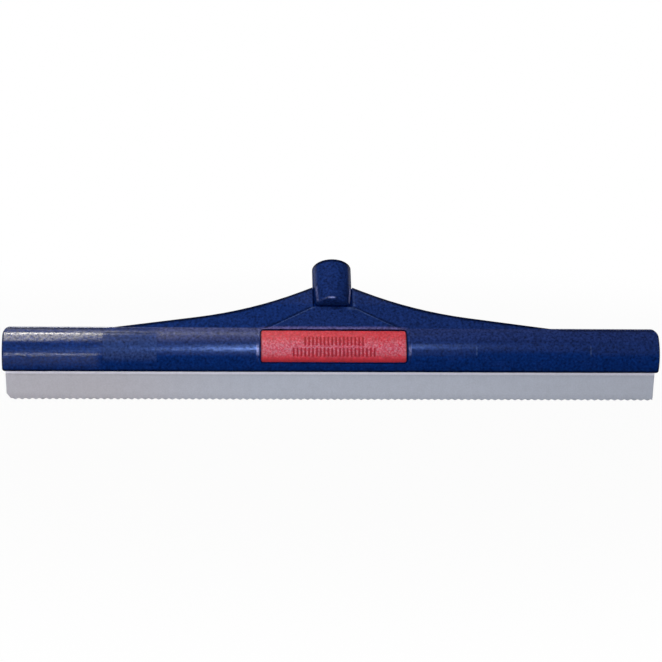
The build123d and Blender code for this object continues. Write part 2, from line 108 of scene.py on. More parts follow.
class BarSettings(bpy.types.PropertyGroup):
    """Sizes and colours of the blue moulding."""

    height: length("Height", "Bar from its lower edge to its top", 0.0391)
    lip_front: length("Lip", "Blade's middle plane to the bar's front lower edge", 0.010)
    top_back: length("Top", "Blade's middle plane back to the end of the rounded front", 0.0034)
    fullest: length("Fullest line", "Lower edge to the fullest line of the rounded front", 0.0132)
    waist: length("Waist", "Lower edge to where the clear skin starts", 0.0182)
    calm: length("Calm", "Lower edge to the dull band on the left end", 0.0235)
    panel_middle: length("Panel middle", "Lower edge to the middle of the bare panels", 0.0205)
    left_panel: length("Left panel", "Middle of the left panel along the bar", -0.190)
    left_width: length("Left panel width", "Width of the left panel", 0.050)
    left_height: length("Left panel height", "Height of the left panel", 0.030)
    right_panel: length("Right panel", "Middle of the right panel along the bar", 0.188)
    right_width: length("Right panel width", "Width of the right panel", 0.108)
    right_height: length("Right panel height", "Height of the right panel", 0.018)
    lean: angle("Lean", "Lean of the web and the socket from the vertical", 42.0)
    web_top: length("Web top", "Height of the web at the socket, along the web", 0.0466)
    web_half: length("Web half", "Half the width of the web at the bar", 0.2134)
    knee_out: length("Knee out", "Middle to the knee of the web's swept edge", 0.077)
    knee_up: length("Knee up", "Bar to the knee of the web's swept edge, along the web", 0.0204)
    knee_ease: length("Knee ease", "How softly the two lines of the swept edge meet", 0.0212)
    socket_radius: length("Socket radius", "Radius of the socket at the web's top", 0.0185)
    socket_start: length("Socket start", "Bar to the socket's lower end, along the web", 0.0267)
    socket_length: length("Socket length", "Socket from its lower end to its mouth", 0.0437)
    socket_sink: length("Socket sink", "Socket's axis behind the front face of the web", 0.006)
    # The worn lower rim is a painted highlight
    rim_turn: angle("Rim turn", "Socket's front round to the middle of its worn lower rim", -4.01)
    recess_half: length("Recess half", "Half the width of the recess round the socket", 0.019)
    recess_depth: length("Recess depth", "Depth of the recess round the socket", 0.0028)
    fairing_top: length("Fairing top", "Bar to the fairing's upper edge, along the web", 0.0237)
    fairing_half: length("Fairing half", "Half the width of the fairing at the bar", 0.0635)
    bezel_half: length("Bezel half", "Half the width of the tag's raised surround", 0.0719)
    # The rubbed edges are a painted highlight
    bezel_glint: length("Bezel glint", "Lower edge to where the surround's edges are rubbed most", 0.0215)
    blue: colour("Blue", "Colour of the bar's lower half", (0.0023, 0.0191, 0.123))
    # Painted sheen: this blue is the bar's blue with a sheen painted in, for web, socket and upper half
    sheened_blue: colour("Faded blue", "Colour of web, socket and the bar's upper half", (0.0068, 0.0207, 0.108))
    # Painted sheen: a lighter blue that stands for the dim sheen on the matt left panel
    etched_sheen: colour("Etched blue", "Colour of the left bare panel", (0.016, 0.035, 0.135))
    # Real scratches and patches, and the painted sheen of two bands below the bar's top
    scuff_and_sheen: colour("Scuff", "Colour of rubbed places", (0.052, 0.062, 0.17))
    # Real marks at the right panel's ends; on the fairing's crests and beside the recess this colour is a
    # painted highlight
    worn_and_lit: colour("Worn edge", "Colour of the fairing's rubbed edges", (0.024, 0.047, 0.155))
    # Painted shade in the recess round the socket
    recess_shade_blue: colour("Hollow", "Colour in the recess round the socket", (0.0006, 0.010, 0.082))
    # Painted highlight: the lit ledge above the tag
    ledge: colour("Ledge", "Colour of the rubbed ledge above the tag", (0.105, 0.094, 0.26))
    # Painted highlight on the surround's edges and on the socket's flanks and rim
    glint: colour("Glint", "Colour of the most rubbed edges of surround and socket", (0.27, 0.30, 0.60))


class WearAndPaintedLightSettings(bpy.types.PropertyGroup):
    """Wear, painted shade and painted highlights of the blue moulding."""

    end_deep: factor("Deep end", "Share of the deep blue on the left end's upper half", 0.5)
    # Painted shade: the deep blue on the web's left stands for shade there
    web_left_shade: factor("Deep web", "Share of the deep blue on the web's left", 0.4)
    scratches: factor("Scratches", "Share of grey in the fine scratches", 0.06)
    patches: factor("Patches", "Share of grey in the patches on the bar's lower half", 0.05)
    # The broad and narrow bands are painted sheen
    broad_band: factor("Broad band", "Share of grey in the broad band below the bar's top", 0.5)
    narrow_band: factor("Narrow band", "Share of grey added in the narrow band at the bar's top", 0.4)
    bands_elsewhere: factor("Bands elsewhere", "Strength of the bands away from the tag's left", 0.2)
    # From the ledge to the rim, the worn edges and lines are painted highlights
    ledge: factor("Ledge", "Wear of the ledge above the tag", 0.8)
    bezel_faint: factor("Faint edge", "Wear of the surround's edges above and below the glint", 0.03)
    bezel_right: factor("Right edge", "Wear of the surround's right edge against its left one", 0.5)
    left_flank_highlight: factor("Left flank", "Wear of the socket's left flank", 0.18)
    left_turn: angle("Left turn", "Socket's front round to the worn line of its left flank", -59.01)
    right_flank_highlight: factor("Right flank", "Wear of the socket's right flank", 0.95)
    right_turn: angle("Right turn", "Socket's front round to the worn line of its right flank", 71.05)
    rim: factor("Rim", "Wear at the middle of the socket's lower rim", 0.4)
    foot_shade: factor("Foot shade", "Darkness of the web along the fairing", 0.45)
    lip_shade: factor("Lip shade", "Darkness of the bar's lower lip", 0.78)
    tip_shade: factor("Tip shade", "Darkness of the bar's two ends", 0.45)
    top_shade: factor("Top shade", "Darkness of the top edges of the web and the bar", 0.75)
    brim_shade: factor("Brim shade", "Darkness of the socket's brim", 0.7)


class SkinSettings(bpy.types.PropertyGroup):
    """The clear skin of the blue moulding."""

    polish: factor("Polish", "Weight of the skin on the bar's upper half", 1.0)
    glints: factor("Glints", "How far the skin is broken into glints", 0.7)
    low_end: factor("Low end", "Weight of the skin on the left end's lower half", 0.8)
    left_panel: factor("Left panel", "How much of it is gone from the left panel", 0.55)
    left_band: factor("Left band", "How much more is gone in a band near the left panel's top", 0.3)
    right_panel: factor("Right panel", "How much of it is gone from the right panel", 0.15)
    to_right: factor("To the right", "How much of it is gone at the right end", 0.6)
    top_right: factor("Top right", "How much of it is gone along the top, right of the tag", 0.8)
    calm: factor("Calm", "How much of it is gone from the dull band on the left end", 0.5)
    brow: factor("Brow", "How much of it is gone from the line below the left end's top", 0.7)
    surround: factor("Surround", "How much of it is gone from the tag's surround", 0.9)
    low: factor("Low", "How much of it is gone low on the upper half", 0.4)
    rim: factor("Rim", "Weight of the skin on both sides of the socket's lower rim", 0.7)
    left_side: factor("Left side", "Weight of the skin on the socket's left side", 0.35)
    right_side: factor("Right side", "Weight of the skin on the socket's right side", 0.3)
    rear: factor("Rear", "Weight of the skin on the rear", 0.3)


class BladeSettings(bpy.types.PropertyGroup):
    """The rubber blade."""

    thickness: length("Thickness", "Thickness of the strip", 0.006)
    bead_height: length("Bead height", "Height of the bead along the top", 0.0055)
    bead_corner: length("Bead corner", "Radius of the bead's edges", 0.0007)
    pitch: length("Notch pitch", "From one notch to the next", 0.00635)
    depth: length("Notch depth", "Depth of a notch", 0.0011)
    taper: length("Taper", "How much narrower the working edge is at each end", 0.001)
    cut_width: length("Cut width", "Width of the cut corner", 0.0046)
    cut_height: length("Cut height", "Height of the cut corner", 0.0056)
    cut_ease: length("Cut ease", "How softly the cut corner meets the notches", 0.0003)
    edge: length("Edge radius", "Rounding of the strip's edges", 0.0005)
    sway: length("Sway", "How far the strip leaves its plane", 0.00012)
    sway_length: length("Sway length", "One wave of the sway along the strip", 0.2992)
    grey: colour("Grey", "Colour of the rubber", (0.477, 0.490, 0.564))
    # Painted light: the pale line just below the bar
    painted_pale_line: colour("Bloom", "Colour of the pale line below the bar", (0.84, 0.84, 0.98))


class TagSettings(bpy.types.PropertyGroup):
    """The colour tag."""

    corner: length("Corner radius", "Radius of the tag's corners seen from the front", 0.0022)
    edge: length("Edge radius", "Rounding of the tag's front edge", 0.0008)
    thickness: length("Thickness", "Thickness of the tag with its stand above the bar", 0.0022)
    proud: length("Stand", "How far the tag stands above the bar", 0.0002)
    peg_radius: length("Peg radius", "Radius of the two pegs", 0.003)
    peg_edge: length("Peg edge", "Rounding of a peg's tip", 0.0006)
    peg_spacing: length("Peg spacing", "Distance between the two pegs", 0.104)
    rib_rise: length("Rib rise", "How far the grip ribs stand out", 0.00035)
    rib_sink: length("Rib sink", "How far the foot of a grip rib goes into the tag", 0.0001)
    rib_width: length("Rib width", "Width of a grip rib", 0.0018)
    rib_pitch: length("Rib pitch", "From one grip rib to the next", 0.0036)
    red: colour("Red", "Colour of the tag", (0.485, 0.017, 0.032))
    # Painted sheen: the pink in specks across the tag's middle
    sheen_pink: colour("Pink", "Colour of the bleached specks on the tag", (0.52, 0.15, 0.19))
    # Painted shade: the ribs are a darker red than the tag to show the shade on raised marks
    shaded_rib_red: colour("Rib red", "Colour of the grip ribs", (0.30, 0.004, 0.010))


class MetalSettings(bpy.types.PropertyGroup):
    """Screws and inserts."""

    steel: colour("Steel", "Zinc-plated steel", (0.56, 0.56, 0.55))
    brass: colour("Brass", "Plain brass", (0.60, 0.42, 0.16))


class StageSettings(bpy.types.PropertyGroup):
    """Camera, floor and lamps."""

    target_height: length("Target height", "Working edge up to the point that the camera looks at", 0.060)
    azimuth: angle("Azimuth", "Camera's turn to the right of the front", -3.35)
    elevation: angle("Elevation", "Camera's height as an angle", 10.73)
    roll: angle("Roll", "Camera's turn about its own axis", 0.86)
    distance: length("Distance", "Camera to its target", 1.763)
    sensor: number("Sensor", "Width of the camera's sensor in millimetres", 36.0)
    focal: number("Focal length", "In millimetres", 102.16)
    shift_x: number("Shift X", "Camera shift across", -0.0039)
    shift_y: number("Shift Y", "Camera shift up", 0.0088)
    paper: colour("Paper", "Shade that the floor and backdrop throw back", (0.4, 0.4, 0.4))
    sky: colour("Sky", "Even light from all round", (0.15, 0.15, 0.155))
    core: number("Core", "Radiance of the small lamp right above the left end", 36.0)
    softbox: number("Softbox", "Radiance of the wider lamp before the core", 10.0)
    far_softbox: number("Far softbox", "Radiance of the dim lamp behind the core", 2.0)
    ceiling: number("Ceiling", "Radiance of the dim lamp above the middle", 1.5)
    strip: number("Strip", "Radiance of the slanted blue lamp in front", 24.0)
    strip_foot: number("Strip foot", "Radiance of the dim blue lamp below the strip", 7.5)
    strip_head: number("Strip head", "Radiance of the dim blue lamp above the strip", 7.0)
    strip_tilt: angle("Strip tilt", "Slant of the three blue lamps", 45.0)
    edge: number("Edge", "Radiance of the small low lamp before the left end", 19.0)
    window: number("Window", "Radiance of the lamps at both sides in front", 8.0)
    fill: number("Fill", "Radiance of the low wide lamp in front", 12.4)
    rear: number("Rear", "Radiance of the wide lamp behind", 8.0)
    warm_light: colour("Warm light", "Colour of the lamps above the left end", (1, 0.94, 0.80))
    blue_light: colour("Blue light", "Colour of the strip lamps", (0.26, 0.43, 1))


SETTINGS = {
    "squeegee_bar": BarSettings,
    "squeegee_wear": WearAndPaintedLightSettings,
    "squeegee_skin": SkinSettings,
    "squeegee_blade": BladeSettings,
    "squeegee_tag": TagSettings,
    "squeegee_metal": MetalSettings,
    "squeegee_stage": StageSettings,
}


# Shader arithmetic


class Wire:
    """An output socket that takes part in Python arithmetic by adding Math nodes."""

    def __init__(self, tree, socket):
        self.tree = tree
        self.socket = socket

    def math(self, operation, *values):
        """One Math node on these values."""
        return self.tree.node("Math", {"operation": operation}, dict(enumerate(values)))["Value"]

    def __add__(self, other):
        return self.math("ADD", self, other)

    def __sub__(self, other):
        return self.math("SUBTRACT", self, other)

    def __rsub__(self, other):
        return self.math("SUBTRACT", other, self)

    def __mul__(self, other):
        return self.math("MULTIPLY", self, other)

    def __neg__(self):
        return 0 - self

    def __abs__(self):
        return self.math("ABSOLUTE", self)

    __radd__ = __add__
    __rmul__ = __mul__

    def ramp(self, low, high):
        """Smooth step from 0 at low to 1 at high."""
        settings = {"interpolation_type": "SMOOTHSTEP"}
        sockets = {"Value": self, "From Min": low, "From Max": high}
        return self.tree.node("MapRange", settings, sockets)["Result"]

    def near(self, centre, core, reach):
        """1 within core of centre, falling smoothly to 0 at reach from it."""
        return 1 - abs(self - centre).ramp(core, reach)


class Tree:
    """A node tree that nodes are added to by type, settings and sockets."""

    def __init__(self, node_tree):
        self.nodes = node_tree.nodes
        self.links = node_tree.links
        self.nodes.clear()

    def node(self, kind, settings, sockets):
        """Adds a node, sets its settings, then its sockets, and returns its outputs by name."""
        made = self.nodes.new("ShaderNode" + kind)
        for name, value in settings.items():
            setattr(made, name, value)
        for key, value in sockets.items():
            socket = self.find(made.inputs, key)
            if isinstance(value, Wire):
                self.links.new(value.socket, socket)
            else:
                socket.default_value = value
        return {out.name: Wire(self, out) for out in made.outputs if out.enabled}

    @staticmethod
    def find(sockets, key):
        """A socket by its number, or the enabled one of that name."""
        if isinstance(key, int):
            return sockets[key]
        return next(socket for socket in sockets if socket.enabled and socket.name == key)

    def point(self):
        """Object coordinates of the shaded point."""
        return self.node("TexCoord", {}, {})["Object"]

    def axes(self, point):
        """X, Y and Z of a point."""
        split = self.node("SeparateXYZ", {}, {"Vector": point})
        return split["X"], split["Y"], split["Z"]

    def noise(self, point, scale, detail, stretch=(1, 1, 1)):
        """Noise about 0.5, with its grain stretched along an axis where stretch is small."""
        if stretch != (1, 1, 1):
            point = self.node("Mapping", {}, {"Vector": point, "Scale": stretch})["Vector"]
        sockets = {"Vector": point, "Scale": scale, "Detail": detail, "Roughness": 0.55}
        return self.node("TexNoise", {}, sockets)["Fac"]

    def blend(self, share, first, second):
        """Mix of two colours."""
        sockets = {"Factor": share, "A": rgba(first), "B": rgba(second)}
        return self.node("Mix", {"data_type": "RGBA"}, sockets)["Result"]

    def tint(self, base, share):
        """A colour made lighter or darker by a share about 1."""
        grey = self.node("CombineXYZ", {}, {"X": share, "Y": share, "Z": share})["Vector"]
        return self.node("VectorMath", {"operation": "MULTIPLY"}, {0: base, 1: grey})["Vector"]

    def bump(self, height, depth, strength=1.0):
        """Normal of a surface that rises by depth where height is 1."""
        return self.node("Bump", {}, {"Strength": strength, "Distance": depth, "Height": height})["Normal"]


def rgba(value):
    """A colour with its alpha, or a socket as it is."""
    return value if isinstance(value, Wire) else (*value, 1.0)


def new_material(name):
    """A new material and its empty node tree."""
    material = bpy.data.materials.new(name)
    material.use_nodes = True
    return material, Tree(material.node_tree)


def new_finish(name, sockets_of):
    """A material whose Principled sockets come from sockets_of(tree)."""
    material, tree = new_material(name)
    surface = tree.node("BsdfPrincipled", {}, sockets_of(tree))["BSDF"]
    tree.node("OutputMaterial", {}, {"Surface": surface})
    return material


# Blue moulding


class MouldingPoint:
    """A shaded point of the blue moulding.

    up and above are measured from the bar's lower edge and its top, behind from the blade's middle plane,
    and past_left from the left panel's left edge. rise runs up the leaning web from the bar's top, and out
    runs out of the web's front face. turn goes about the socket's axis, from its front to the right. The
    other values are 1 on a part of the moulding and 0 elsewhere.
    """

    def __init__(self, tree, bar):
        self.point = tree.point()
        self.x, y, self.z = tree.axes(self.point)
        self.side = abs(self.x)
        self.behind = y - MIDDLE_Y
        self.up = self.z - BAR_BOTTOM
        self.above = self.up - bar.height
        back = self.behind - bar.top_back
        sine, cosine = math.sin(bar.lean), math.cos(bar.lean)
        self.rise = back * sine + self.above * cosine
        self.out = self.above * sine - back * cosine
        self.past_left = self.x - (bar.left_panel - bar.left_width / 2)
        self.on_bar = 1 - self.above.ramp(-0.0003, 0.001)
        self.front = 1 - back.ramp(0, 0.002)
        self.raised = self.out.ramp(0.0003, 0.001)
        up_socket, off_axis = self.rise - bar.socket_start, self.out + bar.socket_sink
        self.on_socket = up_socket.ramp(-0.0002, 0.001) * self.out.ramp(-0.001, 0.001)
        self.turn = off_axis.math("ARCTAN2", self.x, off_axis)
        wall = bar.socket_radius * 1.04  # takes in the whole wall
        self.on_wall = 1 - (self.x * self.x + off_axis * off_axis).ramp(wall**2, (wall * 1.02) ** 2)
        self.on_rim = self.on_wall * up_socket.ramp(0.0006, 0.0014) * (1 - up_socket.ramp(0.0019, 0.0028))
        self.rim_middle = self.turn.near(bar.rim_turn, 0.02, 0.3)
        self.left_end = 1 - self.past_left.ramp(-0.009, 0.001)
        self.left = self.panel(bar, bar.left_panel, bar.left_width, bar.left_height) * self.front
        self.right = self.panel(bar, bar.right_panel, bar.right_width, bar.right_height)
        self.upper = (self.up - bar.waist - self.right * 0.002).ramp(-0.003, 0.003)

    def panel(self, bar, middle, width, height):
        """1 inside a bare panel's rectangle, with its edge blurred over a millimetre."""
        soft = 0.0005
        across = (width / 2 - abs(self.x - middle)).ramp(-soft, soft)
        return across * (height / 2 - abs(self.up - bar.panel_middle)).ramp(-soft, soft)


def faint_to_full(faint, share):
    """A weight that goes from faint to 1 as the share goes from 0 to 1."""
    return faint + share * (1 - faint)


def deep_blue_and_web_shade(spot, wear):
    """Share of the deep blue, which has no painted sheen: the bar's lower half, and less of it on the left
    end and on the web's left, where it is painted shade.
    """
    painted_web_shade = (1 - spot.on_bar) * (1 - spot.x.ramp(-0.05, -0.015)) * (1 - spot.raised)
    return spot.on_bar * (1 - spot.upper * (1 - spot.left_end * wear.end_deep)) + painted_web_shade * wear.web_left_shade


def sheen_bands(spot, bar, wear):
    """Share of grey in two bands of painted sheen on the bar's upper half, full from the left panel to the
    tag.
    """
    beside_tag = (spot.past_left - bar.left_width).ramp(-0.01, 0.01) * (-spot.x).ramp(0.05, 0.075)
    broad = spot.above.ramp(-0.0125, -0.0065) * wear.broad_band
    narrow = spot.above.ramp(-0.0030, -0.0012) * wear.narrow_band
    return (broad + narrow) * faint_to_full(wear.bands_elsewhere, beside_tag) * spot.on_bar * spot.front


def panel_ticks(spot, bar):
    """1 on the small worn marks at both ends of the right panel."""
    across = abs(spot.x - bar.right_panel).near(bar.right_width / 2, 0.0003, 0.0012)
    return across * spot.up.near(bar.panel_middle + 0.001, 0.002, 0.006) * spot.front


def bezel_ledge_highlight(spot, bar):
    """1 where a highlight is painted along the ledge above the tag, fading towards its ends."""
    along = (bar.bezel_half - spot.side).ramp(0, 0.011)
    return spot.above.near(0, 0.0006, 0.003) * along * spot.front


def bezel_edge_highlight(spot, bar, wear):
    """Share of painted highlight on the upright outer edges of the tag's surround, strongest at the glint's
    height.
    """
    across = spot.side.near(bar.bezel_half - 0.0006, 0.0005, 0.0018)
    across = across * faint_to_full(wear.bezel_right, 1 - spot.x.ramp(-0.01, 0.01))
    along = (spot.z - TAG_LOW[2]).ramp(-0.001, 0.002) * spot.front * spot.on_bar
    return across * along * faint_to_full(wear.bezel_faint, spot.up.near(bar.bezel_glint, 0.0005, 0.0065))


def fairing_edge(spot, bar):
    """1 along the rounded slanting edges of the fairing, for a painted highlight, then 1 along the web just
    outside them, for painted shade.
    """
    run, fall = bar.fairing_half - bar.recess_half, bar.fairing_top
    slant = math.hypot(run, fall)
    outside = (spot.side - bar.recess_half) * (fall / slant) + (spot.rise - fall) * (run / slant)
    along = spot.rise.ramp(-0.0005, 0.0005) * (fall - spot.rise).ramp(-0.0002, 0.0004)
    crest_highlight = outside.near(-0.0012, 0.0004, 0.0016) * spot.raised
    foot = outside.near(0.0009, 0.0004, 0.0016) * (1 - spot.raised)
    return crest_highlight * along, foot * along


def recess_shade(spot, bar):
    """1 in the recess round the socket's lower end, 0 on the web's front and behind the recess's floor."""
    across = (bar.recess_half - spot.side).ramp(-0.0004, 0.0004)
    low, high = spot.rise - bar.fairing_top, bar.web_top - spot.rise
    along = low.ramp(-0.0004, 0.0004) * high.ramp(-0.001, 0.002)
    sunk = (-spot.out).ramp(-0.0004, 0.0014) * (spot.out + bar.recess_depth).ramp(-0.0018, -0.0006)
    return across * along * sunk * (1 - spot.on_socket)


def recess_edge_highlight(spot, bar):
    """1 on the web just right of the recess, and on the fairing's upper right corner, for a painted
    highlight.
    """
    past = spot.x - bar.recess_half
    low, high = spot.rise - bar.fairing_top, bar.web_top - spot.rise
    beside = past.ramp(0, 0.0006) * (1 - past.ramp(0.0016, 0.0028))
    beside = beside * low.ramp(0, 0.002) * high.ramp(0.001, 0.003)
    beside = beside * spot.out.ramp(-0.0008, -0.0004) * (1 - spot.raised)
    corner = past.ramp(-0.007, -0.003) * (1 - past.ramp(0.002, 0.005))
    corner = corner * low.near(-0.0018, 0.0012, 0.003) * spot.out.ramp(0, 0.001)
    return (beside + corner) * (1 - spot.on_socket)


def socket_highlight(spot, bar, wear):
    """Share of painted highlight along the socket's flanks in the recess and at the middle of its lower
    rim.
    """
    low, high = spot.rise - bar.socket_start, bar.web_top - spot.rise
    in_recess = low.ramp(0.001, 0.003) * high.ramp(0, 0.004)
    off_floor = (spot.out + bar.recess_depth).ramp(0.0001, 0.0005)
    left = spot.turn.near(wear.left_turn, 0.04, 0.15) * wear.left_flank_highlight
    right = spot.turn.near(wear.right_turn, 0.06, 0.18) * wear.right_flank_highlight
    flanks = in_recess * off_floor * spot.on_wall * (left + right)
    return flanks + spot.on_rim * spot.rim_middle * wear.rim


def top_edge(spot, bar):
    """1 along the web's swept upper edge, and along the bar's own top edge beyond the web.

    The swept edge is the higher of two lines through the knee, eased into each other.
    """
    outer_slope = bar.knee_up / (bar.web_half - bar.knee_out)
    inner_slope = (bar.web_top - bar.knee_up) / (bar.knee_out - bar.socket_radius)
    outer = (bar.web_half - spot.side) * outer_slope
    inner = (bar.knee_out - spot.side) * inner_slope + bar.knee_up
    edge = outer.math("SMOOTH_MAX", outer, inner, bar.knee_ease)
    swept = (1 - (edge - spot.rise).ramp(0.0022, 0.0040)) * spot.out.near(0, 0.0012, 0.0022)
    swept = swept * (spot.side - bar.recess_half).ramp(0, 0.001) * spot.above.ramp(0, 0.001)
    beyond = spot.above.ramp(-0.0019, -0.0006) * (spot.side - bar.web_half).ramp(-0.004, 0.004)
    return swept + beyond * (1 - spot.behind.ramp(0, 0.006))


def edge_shade(spot, bar, wear):
    """Share of brightness left on the bar's lower lip and tips, the top edges and the socket's brim."""
    lip = 1 - spot.up.ramp(0.0012, 0.0036)
    tips = (spot.side - FRAME_HIGH[0]).ramp(-0.0022, -0.0008)
    mouth = spot.rise - bar.socket_start - bar.socket_length
    brim = mouth.ramp(-0.0039, -0.0026) * (1 - mouth.ramp(-0.0004, -0.0001))
    bar_shade = (1 - lip * wear.lip_shade) * (1 - tips * wear.tip_shade)
    return bar_shade * (1 - top_edge(spot, bar) * wear.top_shade) * (1 - brim * wear.brim_shade)


def bar_skin(spot, bar, skin, glint):
    """Weight of the clear skin on the bar's upper half and left end, broken into glints.

    It thins out towards the right. It is thin on the panels and the tag's surround, on the left end's dull
    band and brow, and low on the upper half, but for the stretch left of the tag.
    """
    x, up, above = spot.x, spot.up, spot.above
    left = spot.left * (skin.left_panel + above.near(-0.007, 0.001, 0.0028) * skin.left_band)
    panels = left + spot.right * spot.front * skin.right_panel
    top_right = x.ramp(0.02, 0.08) * up.ramp(0.026, 0.031)
    calm = spot.left_end * up.near(bar.calm, 0.002, 0.005)
    brow = (-spot.past_left).ramp(0.02, 0.04) * above.near(-0.003, 0.0003, 0.0013)
    surround = (bar.bezel_half - spot.side).ramp(0.0004, 0.0010) * (-above).ramp(0.006, 0.008)
    sleek = (x - bar.left_panel).ramp(0.04, 0.10) * (-x).ramp(0.05, 0.07)
    low = (-above).ramp(0.012, 0.016) * (1 - spot.left_end) * (1 - sleek)
    left_over = (1 - panels) * (1 - x.ramp(-0.02, 0.22) * skin.to_right) * (1 - top_right * skin.top_right)
    left_over = left_over * (1 - calm * skin.calm) * (1 - brow * skin.brow)
    left_over = left_over * (1 - surround * skin.surround) * (1 - low * skin.low)
    low_end = spot.left_end * up.ramp(0, 0.014) * skin.low_end
    covered = spot.on_bar * spot.front * (spot.upper + (1 - spot.upper) * low_end)
    return covered * left_over * faint_to_full(1 - skin.glints, glint) * skin.polish


def socket_skin(spot, skin):
    """Weight of the clear skin on the socket's sides and round the front of its lower rim."""
    left, right = (-spot.x).ramp(0.010, 0.018), spot.x.ramp(0.0135, 0.0175)
    shown = spot.turn.ramp(-1.2, -1.0) * (1 - spot.turn.ramp(0.05, 0.2))
    rim = spot.on_rim * shown * faint_to_full(skin.rim, spot.rim_middle)
    return spot.on_socket * (left * skin.left_side + right * skin.right_side) + rim


def rear_skin(spot, skin):
    """Weight of the clear skin behind the bar and behind the web."""
    bar_rear, web_rear = spot.behind.ramp(0.0075, 0.0085), (-spot.out).ramp(0.0035, 0.005)
    return (spot.on_bar * bar_rear + (1 - spot.on_bar) * web_rear) * skin.rear


def blue_moulding(bar, wear, skin):
    """Navy plastic with a moulded grain.

    Coats of other blues lie over the web's blue, lightened by a painted sheen, each by its own share: deep
    on the bar's lower half, painted shade in the recess and on the web's left, real scratches, scuffs and
    panel marks, and painted sheen and highlights on bands, edges, the left panel, the surround and the
    socket.
    """

    def sockets_of(tree):
        spot = MouldingPoint(tree, bar)
        cloud = tree.noise(spot.point, scale=22.0, detail=3.0)
        grain = tree.noise(spot.point, **MOULD_GRAIN)
        glint = tree.noise(spot.point, scale=560.0, detail=2.0, stretch=(0.55, 1, 1)).ramp(0.3, 0.7)
        scratch = tree.noise(spot.point, scale=260.0, detail=3.0, stretch=(0.06, 1, 1)).ramp(0.62, 0.74)
        patches = tree.noise(spot.point, scale=60.0, detail=4.0).ramp(0.5, 0.75)
        patches = patches * (1 - spot.upper) * spot.on_bar
        panels = spot.left + spot.right * spot.front
        crest_highlight, foot = fairing_edge(spot, bar)
        # Real scratches and patches, with the painted sheen of the two bands
        scuffs_and_sheen = scratch * wear.scratches + patches * wear.patches + sheen_bands(spot, bar, wear)
        coats = (
            # Deep blue below, and painted shade on the web's left
            (deep_blue_and_web_shade(spot, wear), bar.blue),
            # Painted sheen on the matt left panel
            (spot.left * spot.up.ramp(0.008, 0.015), bar.etched_sheen),
            (scuffs_and_sheen, bar.scuff_and_sheen),
            # Painted highlight on the fairing's crests, real marks at the right panel's ends
            (crest_highlight + panel_ticks(spot, bar), bar.worn_and_lit),
            # Painted highlight along the ledge above the tag
            (bezel_ledge_highlight(spot, bar) * wear.ledge, bar.ledge),
            # Painted highlight on the surround's outer edges
            (bezel_edge_highlight(spot, bar, wear), bar.glint),
            # Painted shade in the recess
            (recess_shade(spot, bar), bar.recess_shade_blue),
            # Painted highlight on the socket's flanks and lower rim
            (socket_highlight(spot, bar, wear), bar.glint),
            # Painted highlight beside the recess and on the fairing's corner
            (recess_edge_highlight(spot, bar), bar.worn_and_lit),
        )
        # The web's blue carries a painted sheen
        shade = bar.sheened_blue
        for share, paint in coats:
            shade = tree.blend(share, shade, paint)
        level = cloud * 0.3 + grain * 2.8 - 0.55
        level = level * (1 - foot * wear.foot_shade) * edge_shade(spot, bar, wear)
        coat = bar_skin(spot, bar, skin, glint) + socket_skin(spot, skin) + rear_skin(spot, skin)
        return {
            "Base Color": tree.tint(shade, level),
            "Roughness": 0.52 + cloud * 0.1 + panels * 0.06,
            "Specular IOR Level": 0.01,
            "Coat Weight": coat,
            "Coat Roughness": 0.2,
            "Normal": tree.bump(grain * (0.8 + panels * 0.2) + scratch * 0.1, depth=0.00014),
        }

    return new_finish("blue_moulding", sockets_of)


# Other finishes


def grey_rubber(blade):
    """Matt rubber: warm grey on the left and cool on the right, mottled, with a painted pale line below the
    bar and painted light that evens out the bar's shadow.
    """

    def sockets_of(tree):
        point = tree.point()
        x, _, z = tree.axes(point)
        height = z - WORKING_EDGE
        drift = tree.noise(point, scale=7.0, detail=2.0, stretch=(1, 0.2, 0.6))
        drift = drift * 0.6 + x.ramp(-0.30, 0.02) * 0.5 - 0.05
        mottle = tree.noise(point, scale=120.0, detail=4.0)
        speck = tree.noise(point, scale=720.0, detail=2.0)
        streak = tree.noise(point, scale=300.0, detail=2.0, stretch=(1, 1, 0.08))
        low = 1 - height.ramp(0, 0.008)
        # high is painted light that evens out the bar's shadow on the blade's upper part
        high = height.ramp(0.012, BAR_BOTTOM - WORKING_EDGE - 0.001)
        warm = np.array(blade.grey) * (1.01, 0.968, 0.943)
        cool = np.array(blade.grey) * (0.99, 1.032, 1.057)
        shade = tree.blend(drift.ramp(0.25, 0.75), warm, cool)
        # Painted pale line below the bar
        shade = tree.blend((z - BAR_BOTTOM).ramp(-0.0044, -0.0028) * 0.9, shade, blade.painted_pale_line)
        level = 0.80 + mottle * 0.16 + speck * 0.26 + streak * 0.04
        level = level - low * 0.06 + high * 0.07 - x.ramp(0.05, 0.3) * 0.04
        return {
            "Base Color": tree.tint(shade, level),
            "Roughness": 0.58 + mottle * 0.14 + low * 0.06,
            "Specular IOR Level": 0.3,
            "Normal": tree.bump(speck * 0.6 + mottle * 0.4, depth=0.00012, strength=0.5),
        }

    return new_finish("grey_rubber", sockets_of)


